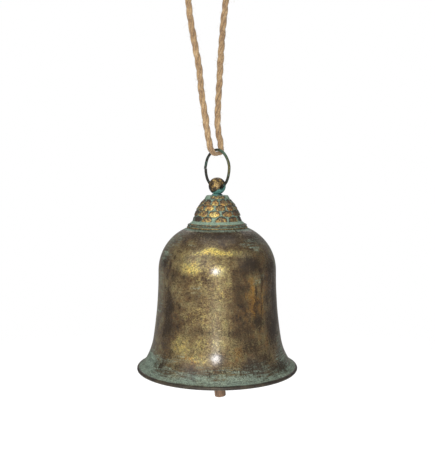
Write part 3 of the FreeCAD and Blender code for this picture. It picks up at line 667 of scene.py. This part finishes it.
def make_cap(paint):
    foot = [(22.0, CAP_LOW), (25.9, CAP_LOW), (26.2, CAP_LOW + 0.25), (26.2, CAP_LOW + 0.55)]
    foot.append((25.8, CAP_LOW + 0.8))
    foot += straight(foot[-1], (23.6, CAP_LOW + 2.7), 7) + [(23.2, CAP_LOW + 3.2)]
    start = len(foot)
    dome = arc((23.1, CAP_LOW + 3.4), (12.4, CAP_TOP), 38, 96)
    inner_top = CAP_TOP - 1.4
    lid = [(11.5, CAP_TOP), (BORE, CAP_TOP), (BORE, inner_top), (10.4, inner_top)]
    inner = arc((10.4, inner_top), (21.1, CAP_LOW + 3.3), -36.6, 12)
    outline = foot + dome + lid + inner
    rows = scale_rows()
    segments = 420
    cast = {}  # what the paint needs to know at each point of the dome

    def cast_height(i, angle, radius, height):
        """Raises the scales of the casting, unevenly."""
        if not start <= i < start + len(dome):
            return 0.0
        x, y = radius * math.cos(angle), radius * math.sin(angle)
        warp = 0.055 * wander(x / 4, y / 4, height / 3) + 0.02 * wander(x / 1.5, y / 1.5, height / 1.5)
        lift = 0.8 * wander(x / 5 + 5, y / 5, height / 4) + 0.3 * wander(x / 1.6, y / 1.6 + 4, height / 1.6)
        rise, tone, soot_and_shade = relief_at(rows, angle + warp, height + lift)
        lumpy = wander(x / 1.7, y / 1.7, height / 1.7)
        fade = smooth(height, CAP_LOW + 3.4, CAP_LOW + 4.2) * smooth(height, CAP_TOP, CAP_TOP - 1.0)
        # Painted shade: toward the dome's sides, seen from the camera, the scales are painted lower, darker and
        # sootier.
        side = smooth(apart(angle), 0.85, 1.25) * smooth(apart(angle), 2.0, 1.5)
        shown = rise * (0.85 + 0.3 * lumpy) * (1 - 0.35 * side)
        cast[i, angle] = (shown, tone - 0.15 * side, soot_and_shade + 0.15 * side)
        return fade * (1.35 * rise + 0.35 * lumpy * (0.3 + rise) - 1.15)

    points, faces = lathe(outline, segments, cast_height)
    cap = piece("crown_cap_cast", points, faces, "bell", [paint], ["crown_cap"])
    values = []
    for j in range(segments):
        angle = TURN * j / segments
        for i, (radius, height) in enumerate(outline):
            rise, tone, soot_and_shade = cast.get((i, angle), (0.0, 0.5, 0.0))
            ledge = smooth(abs(height - CAP_LOW - 0.5), 0.5, 0.2) if i < start and radius > 25.7 else 0.0
            values.append((rise * 0.75 + 0.4 * ledge, tone, soot_and_shade + 0.3 * ledge, 1.0))
    give(cap, "relief", values)


def make_base_plate(paint):
    low = SEAT[1] + 0.05
    outline = [
        (BORE, low), (28.35, low), (28.6, low + 0.25), (28.6, low + 0.8), (28.4, low + 1.0), (27.3, low + 1.05),
        (27.1, low + 1.2), (27.1, low + 1.45), (27.3, low + 1.6), (27.7, low + 1.65), (27.9, low + 1.85),
        (27.9, low + 2.85), (27.65, low + 3.1), (BORE, low + 3.1),
    ]
    segments = 288
    dice = random.Random(11)
    nicks = [(FRONT + math.radians(a), w) for a, w in ((-63, 0.022), (34, 0.016), (43, 0.022), (5, 0.012))]
    nicks += [(dice.uniform(0, TURN), dice.uniform(0.01, 0.02)) for _ in range(9)]

    def nick(i, angle, radius, height):
        """A worn rim, with nicks in its lower step."""
        if radius < 26:
            return 0.0
        worn = 0.06 * wander(angle * 9, height)
        if height < low + 1.0:
            worn -= sum(0.55 * smooth(apart(angle, at), wide, wide * 0.4) for at, wide in nicks)
        return worn

    points, faces = lathe(outline, segments, nick)
    name, slot, node = "crown_base_plate_worn", "aged_crown", "crown_base_plate"
    plate = piece(name, points, faces, "bell", [paint], [node], corner=50)
    values = []
    for j in range(segments):
        angle = TURN * j / segments
        # Painted light: the lower step is painted lighter on the side that faces the camera.
        facing = smooth(apart(angle), 1.4, 0.2)
        for radius, height in outline:
            lower, upper = height < low + 1.03, height > low + 1.62
            shade = (0.5 + 0.15 * facing) if lower else 0.26 if upper else 0.0
            near = max(smooth(apart(angle, at), wide * 1.4, wide * 0.5) for at, wide in nicks)
            soot_and_shade = 0.8 * near if lower else 0.35 if upper else 0.2
            values.append((shade, 0.35 + 0.2 * wander(angle * 6, 3), soot_and_shade, 1.0))
    give(plate, "relief", values)


def make_ferrule(paint):
    low = CAP_TOP + 0.05
    outline = [(BORE, low), (11.2, low), (11.6, low + 0.2), (11.8, low + 0.6), (11.6, low + 1.0)]
    outline += [(10.4, low + 2.9), (10.2, low + 3.25), (9.8, low + 3.5), (6.0, low + 3.55), (BORE, low + 3.5)]
    segments = 160

    def lump(i, angle, radius, height):
        return 0.14 * wander(angle * 5, height / 1.5) if radius > 9 else 0.0

    points, faces = lathe(outline, segments, lump)
    name, slot, node = "crown_ferrule_cast", "aged_crown", "crown_ferrule"
    ferrule = piece(name, points, faces, "bell", [paint], [node], corner=60)
    values = []
    for j in range(segments):
        angle = TURN * j / segments
        away = abs(math.remainder(angle - FRONT - 0.1, TURN))
        beyond = smooth(wander(angle * 2.2, 4), 0.1, 0.4) * smooth(away, 0.9, 1.3)
        warm = max(smooth(away, 0.95, 0.35), beyond) * (0.75 + 0.9 * wander(angle * 6, 8))
        tone, soot_and_shade = 0.36 + 0.3 * wander(angle * 4, 2), 0.35 * smooth(warm, 0.3, 0.0)
        for radius, height in outline:
            band = smooth(abs(height - low - 1.9), 2.2, 0.6) if radius > 9 else 0.0
            values.append((0.62 * band * warm, tone, soot_and_shade, 1.0))
    give(ferrule, "relief", values)


# ---------------------------------------------------------------- wire ring
def make_ring(paint):
    """A wire bent to a ring, a little out of true, with its two ends butted at the side."""
    lo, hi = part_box("hanging_ring")
    centre = (lo + hi) / 2
    radius, wire = 18.0, 1.35
    segments, around = 220, 20
    gap = math.radians(0.15)  # half the gap of the butt
    points = []
    for j in range(segments + 1):
        at = math.pi + gap + (TURN - 2 * gap) * j / segments
        free = smooth(math.sin(at), -0.75, -0.45) * smooth(math.sin(at), 0.93, 0.75)
        from_joint = math.remainder(at - math.pi, TURN)
        kink = math.copysign(math.exp(-abs(from_joint) / 0.16), from_joint)
        r = radius + free * (0.22 * wander(math.cos(at) * 2, math.sin(at) * 2) + 0.28 * abs(kink) - 0.1)
        side = free * (0.3 * wander(math.cos(at) * 2 + 9, math.sin(at) * 2) + 0.35 * kink)
        across = wire - 0.06 + free * 0.05 * wander(at * 8, 2)
        out = Vector((math.cos(at), 0, math.sin(at)))
        spine = centre + (out * r + Vector((0, side, 0))) * MM
        for k in range(around):
            turn = TURN * k / around
            way = out * math.cos(turn) + Vector((0, math.sin(turn), 0))
            points.append(tuple(spine + way * across * MM))
    faces = skin(segments + 1, around) + ends(segments + 1, around)
    piece("hanging_ring_wire", points, faces, "ring", [paint], ["hanging_ring"], corner=60)


# ---------------------------------------------------------------- striker
def make_striker():
    """A dowel with worn edges, drilled for its rod. It leans as the CAD's does."""
    lean = math.radians(7.6)
    long, radius, hole, drilled, axis = 59.2, 5.35, 1.1, -14.0, 0.02
    swing, rod = math.radians(3.3), 67.2  # the rod's lean, and its length from its eye to the striker's top
    top = Vector((0, -rod * math.sin(swing), (MOUTH + 0.097) / MM - rod * math.cos(swing)))
    outline = [(hole, drilled), (hole, 0.0), (radius - 0.6, 0.0), (radius - 0.18, -0.18), (radius, -0.6)]
    outline += straight((radius, -0.6), (radius, 0.7 - long), 30)
    outline += [(radius - 0.15, 0.25 - long), (radius - 0.7, -long), (3.4, -long), (1.6, -long)]
    outline += [(axis, -long), (axis, drilled)]
    segments = 56
    points = []
    turned = Matrix.Rotation(lean, 3, "X")
    for j in range(segments):
        angle = TURN * j / segments
        x, y = math.cos(angle), math.sin(angle)
        for r, h in outline:
            if r > 3:
                r += 0.1 * wander(2 * x, 2 * y, h / 9) + 0.05 * wander(7 * x, 7 * y, h / 3)
                if h < 2 - long:
                    r -= 0.35 * smooth(wander(2.5 * x + 4, 2.5 * y, 1), 0.1, 0.5)
            points.append(tuple((turned @ Vector((r * x, r * y, h)) + top) * MM))
    faces = skin(segments, len(outline), closed=True)
    wood = [wood_paint(lean)]
    piece("striker_dowel", points, faces, "clapper", wood, ["wooden_striker"], corner=55)


# ---------------------------------------------------------------- rope
# The rope's route (y, z) in metres, from the foot of the knot round the ring and the hook and into the knot.
ROUTE = [
    (0.0112, -0.028), (0.0093, -0.042), (0.0066, -0.061), (0.0042, -0.086), (0.0026, -0.113),
    (0.0004, -0.138), (0.0005, -0.155), (0.0045, -0.1688), (0.005, -0.1786), (-0.005, -0.1786),
    (-0.009, -0.1698), (-0.012, -0.155), (-0.015, -0.138), (-0.0187, -0.12), (-0.0202, -0.102),
    (-0.025, -0.081), (-0.031, -0.056), (-0.0335, -0.034), (-0.03, -0.018), (-0.019, -0.004),
    (-0.0058, 0.003), (0.0058, 0.003), (0.014, -0.0052), (0.0131, -0.0172),
]
ROPE_RADIUS, STRAND_RADIUS = 0.0032, 0.00166
LAY = 0.033  # the length of one full twist
STRAND_STEP, STRAND_SIDES = 0.0011, 14
# Thick, hairy places.
SLUBS = [Vector((0, 0.0035, -0.0905)), Vector((0, -0.0265, -0.07)), Vector((0, -0.0135, -0.146))]
BIGHT = Vector((0, 0, -0.1765))  # where the rope passes under the ring's wire
SQUEEZE, LIFT = 0.3, 0.0045  # how far the weight flattens the rope there, and how that raises it


def spline_line(points):
    """Points along one smooth NURBS spline with these control points."""
    curve = bpy.data.curves.new("route", "CURVE")
    curve.dimensions = "3D"
    curve.resolution_u = 24
    spline = curve.splines.new("NURBS")
    spline.points.add(len(points) - 1)
    for held, point in zip(spline.points, points):
        held.co = (*point, 1.0)
    spline.order_u = 3
    spline.use_endpoint_u = True
    carrier = bpy.data.objects.new("route", curve)
    bpy.context.collection.objects.link(carrier)
    mesh = bpy.data.meshes.new_from_object(carrier)
    line = [v.co.copy() for v in mesh.vertices]
    bpy.data.objects.remove(carrier)
    bpy.data.curves.remove(curve)
    bpy.data.meshes.remove(mesh)
    return line


def even_steps(line, step):
    """Points a step apart along a line, each with its distance from the start."""
    far = [0.0]
    for a, b in zip(line, line[1:]):
        far.append(far[-1] + (b - a).length)
    count = max(2, round(far[-1] / step))
    out, k = [], 0
    for n in range(count + 1):
        want = far[-1] * n / count
        while k < len(far) - 2 and far[k + 1] < want:
            k += 1
        share = (want - far[k]) / max(1e-9, far[k + 1] - far[k])
        out.append((line[k].lerp(line[k + 1], share), want))
    return out


def nothing(*_):
    return 0.0


def twisted(line, seed, loosen=nothing, pinch=nothing):
    """Three laid strands along a line: points, faces, and each point's coat of (round, along, depth).

    loosen says how far the lay is open at a distance along the line, and pinch how flat it is at a point.
    """
    stops = even_steps(line, STRAND_STEP)
    side = Vector((1, 0, 0))
    frames = []
    for n, (point, far) in enumerate(stops):
        ahead = stops[min(n + 1, len(stops) - 1)][0] - stops[max(n - 1, 0)][0]
        ahead.normalize()
        side = (side - ahead * side.dot(ahead)).normalized()
        frames.append((point, far, side, ahead.cross(side)))
    points, faces, coat = [], [], []
    length = stops[-1][1]
    offset = ROPE_RADIUS - STRAND_RADIUS
    for strand in range(3):
        spine = []
        for point, far, across, up in frames:
            turn = TURN * (far / LAY + strand / 3) + 0.35 * wander(far / 0.03, seed, strand)
            reach = offset * (1 + 0.1 * wander(far / 0.011, seed + 5, strand) + loosen(far, length))
            reach *= 1 - pinch(point)
            spine.append((point + (across * math.cos(turn) + up * math.sin(turn)) * reach, far, point))
        base = len(points)
        for n, (middle, far, axis) in enumerate(spine):
            ahead = (spine[min(n + 1, len(spine) - 1)][0] - spine[max(n - 1, 0)][0]).normalized()
            outward = middle - axis
            outward = (outward - ahead * outward.dot(ahead)).normalized()
            beside = ahead.cross(outward)
            slub = max(smooth((axis - at).length, 0.007, 0.001) for at in SLUBS)
            slub *= 0.05 + 0.13 * (strand == 1)
            thick = STRAND_RADIUS * (1 + 0.15 * wander(far / 0.009, seed + 9, strand * 3) + slub)
            thick *= 1 - 0.5 * min(1.0, loosen(far, length))
            thick *= 1 - pinch(axis)
            for k in range(STRAND_SIDES):
                turn = TURN * k / STRAND_SIDES
                lump = 1 + 0.07 * wander(math.cos(turn) * 2.2, math.sin(turn) * 2.2, far / 0.006 + strand * 7)
                out = math.cos(turn)
                flat = 1.0 - 0.06 * out
                points.append(tuple(middle + (outward * out * flat + beside * math.sin(turn)) * thick * lump))
                coat.append((k / STRAND_SIDES + far / 0.02 + strand, far / MM, 0.5 + 0.5 * out, 1.0))
        faces += skin(len(spine), STRAND_SIDES, base) + ends(len(spine), STRAND_SIDES, base)
    return points, faces, coat


def hairs(line, count, seed, longest):
    """Thin loose fibres that stand off a rope, more of them at the slubs: points and faces."""
    dice = random.Random(seed)
    stops = even_steps(line, 0.001)
    slub_share = 0.14
    points, faces = [], []
    for _ in range(count):
        n = dice.randrange(1, len(stops) - 1)
        if dice.random() < slub_share:
            near = dice.choice(SLUBS)
            n = min(range(1, len(stops) - 1), key=lambda k: (stops[k][0] - near).length) + dice.randint(-3, 3)
            n = min(max(n, 1), len(stops) - 2)
        ahead = (stops[n + 1][0] - stops[n - 1][0]).normalized()
        side = ahead.orthogonal().normalized()
        side.rotate(Matrix.Rotation(dice.uniform(0, TURN), 3, ahead))
        long = longest * dice.uniform(0.25, 1.0) ** 1.6
        way = (ahead * dice.choice((-1, 1)) * dice.uniform(0.5, 1.4) + side).normalized()
        bend = Vector((dice.gauss(0, 1), dice.gauss(0, 1), dice.gauss(0, 1))) * 0.5
        at = stops[n][0] + side * ROPE_RADIUS * dice.uniform(0.8, 0.97)
        thick = dice.uniform(0.035, 0.06) * MM
        base = len(points)
        joints, sides = 6, 3
        for k in range(joints):
            shape = thick * (1 - 0.75 * k / (joints - 1))
            u = way.orthogonal().normalized()
            v = way.cross(u)
            for m in range(sides):
                turn = TURN * m / sides
                points.append(tuple(at + (u * math.cos(turn) + v * math.sin(turn)) * shape))
            at = at + way * long / (joints - 1)
            way = (way + bend * 0.3).normalized()
        faces += skin(joints, sides, base) + ends(joints, sides, base)
    return points, faces


def squeeze(point):
    """The bell's weight flattens the rope where it passes under the wire."""
    return SQUEEZE * smooth((point - BIGHT).length, 0.0085, 0.0015)


def fray(far, length):
    """A tail's strands open in its last 6 mm."""
    return 1.3 * smooth(min(far, length - far), 0.006, 0.0)


def knot_route():
    """The knot's route: a frayed tail, turns round both strands, the other tail. It leans with the rope."""
    lean = Matrix.Rotation(math.radians(-8.4), 3, "X")
    middle = Vector((0, 0.012, MOUTH + 0.3583))
    turns, high, wide, steps, start = 2.25, 0.0112, 0.0051, 18, math.radians(70)
    route = [
        (0.0052, 0.0192, 0.0142), (0.003, 0.0165, 0.012), (0.001, 0.013, 0.0095), (-0.002, 0.0085, 0.0075),
    ]
    for k in range(steps + 1):
        turn = start + TURN * turns * k / steps
        route.append((wide * math.cos(turn), wide * math.sin(turn), high * (0.5 - k / steps)))
    route += [
        (-0.0068, 0.003, -0.0062), (-0.006, 0.0085, -0.0062), (-0.0062, 0.015, -0.003),
        (-0.0065, 0.0215, 0.0002),
    ]
    return [lean @ Vector(point) + middle for point in route]


def make_rope():
    jute, fuzz = jute_paint(), fuzz_paint()
    line = [p for p, _ in even_steps(spline_line([(0.0, y, z) for y, z in ROUTE]), 0.001)]
    for point in line:
        point.z += LIFT * squeeze(point)
    points, faces, coat = twisted(line, seed=1, pinch=squeeze)
    rope = piece("jute_strands", points, faces, "rope", [jute], ["jute_rope"])
    give(rope, "coat", coat)

    knot_line = spline_line(knot_route())
    points, faces, coat = twisted(knot_line, seed=4, loosen=fray)
    knot = piece("jute_knot", points, faces, "rope", [jute], ["rope_knot"])
    give(knot, "coat", coat)

    points, faces = hairs(line, 760, seed=3, longest=0.0062)
    more_points, more_faces = hairs(knot_line, 160, seed=8, longest=0.006)
    faces += [tuple(i + len(points) for i in face) for face in more_faces]
    points += more_points
    fluff = piece("jute_fuzz", points, faces, "rope", [fuzz])


# ---------------------------------------------------------------- the pieces kept from the frame
def finish_node(name, paint):
    """Gives a CAD node its material."""
    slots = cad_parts[name].data.materials
    slots.clear()
    slots.append(paint)


# ---------------------------------------------------------------- camera, light and floor
def make_stage():
    camera = bpy.data.objects.new("camera", bpy.data.cameras.new("camera"))
    azimuth, distance = math.radians(AZIMUTH), 0.76
    camera.location = (distance * math.sin(azimuth), -distance * math.cos(azimuth), -0.1755)
    camera.rotation_euler = (math.radians(84.83), 0, azimuth)
    camera.data.sensor_width, camera.data.lens = 36, 64.64
    camera.data.shift_x = 0.0007
    camera.data.clip_start = 0.01
    bpy.context.collection.objects.link(camera)
    bpy.context.scene.camera = camera
    bpy.context.scene.view_settings.view_transform = "Standard"

    middle = Vector((0, 0, -0.3))

    def lamp(name, place, size, power):
        light = bpy.data.lights.new(name, "AREA")
        light.shape, light.size, light.energy = "DISK", size, power
        holder = bpy.data.objects.new(name, light)
        holder.location = place
        holder.rotation_euler = (middle - Vector(place)).to_track_quat("-Z", "Y").to_euler()
        bpy.context.collection.objects.link(holder)

    def around(degrees, reach, height):
        """A place at an angle from FRONT."""
        angle = FRONT + math.radians(degrees)
        return reach * math.cos(angle), reach * math.sin(angle), height

    lamp("front_light", around(-2, 0.95, -0.13), 0.17, 6.4)
    lamp("key_light", around(-40, 1.3, 0.6), 1.4, 9)
    lamp("fill_light", around(62, 1.3, 0.3), 1.0, 1.8)
    lamp("back_light", around(180, 1.4, 0.6), 1.0, 7)
    lamp("top_light", (0, 0, 1.1), 1.2, 5)

    world = bpy.data.worlds.new("studio")
    bpy.context.scene.world = world
    world.use_nodes = True
    nodes, links = world.node_tree.nodes, world.node_tree.links
    nodes.clear()
    rays = nodes.new("ShaderNodeLightPath")
    seen, lighting = (nodes.new("ShaderNodeBackground") for _ in range(2))
    both, out = nodes.new("ShaderNodeMixShader"), nodes.new("ShaderNodeOutputWorld")
    seen.inputs[0].default_value = (1, 1, 1, 1)
    lighting.inputs[0].default_value = (0.28, 0.28, 0.28, 1)
    links.new(rays.outputs["Is Camera Ray"], both.inputs[0])
    links.new(lighting.outputs[0], both.inputs[1])
    links.new(seen.outputs[0], both.inputs[2])
    links.new(both.outputs[0], out.inputs[0])

    floor_mesh = bpy.data.meshes.new("floor")
    wide = 5.0
    corners = [(-wide, -wide, 0), (wide, -wide, 0), (wide, wide, 0), (-wide, wide, 0)]
    floor_mesh.from_pydata(corners, [], [(0, 1, 2, 3)])
    floor = bpy.data.objects.new("floor", floor_mesh)
    floor.location = (0, 0, -0.62)
    bpy.context.collection.objects.link(floor)
    paint = Paint("pale_floor", Roughness=0.9, Base_Color=(0.9, 0.9, 0.9, 1))
    paint.sets(Emission_Color=(1, 1, 1, 1), Emission_Strength=0.45)
    away = paint.add("ShaderNodeVectorMath", {0: paint.place}, operation="LENGTH").outputs["Value"]
    paint.sets(Alpha=paint.step(away, 550, 1300, 1.0, 0.0))
    floor_mesh.materials.append(paint.material)


make_stage()
crown, wire, steel = crown_paint(), wire_paint(), steel_paint()
make_rope()
make_shell()
make_cap(crown)
make_base_plate(crown)
make_ferrule(crown)
make_ring(wire)
make_striker()
brown = ball_paint()
for name in ("hanger_ball", "neck_washer"):
    finish_node(name, brown)
finish_node("fibre_washer", fibre_paint())
for name in ("threaded_stem", "flat_washer", "spring_washer", "hex_nut"):
    finish_node(name, steel)
for name in ("clapper_eye_nut", "clapper_link", "clapper_rod"):
    finish_node(name, wire)
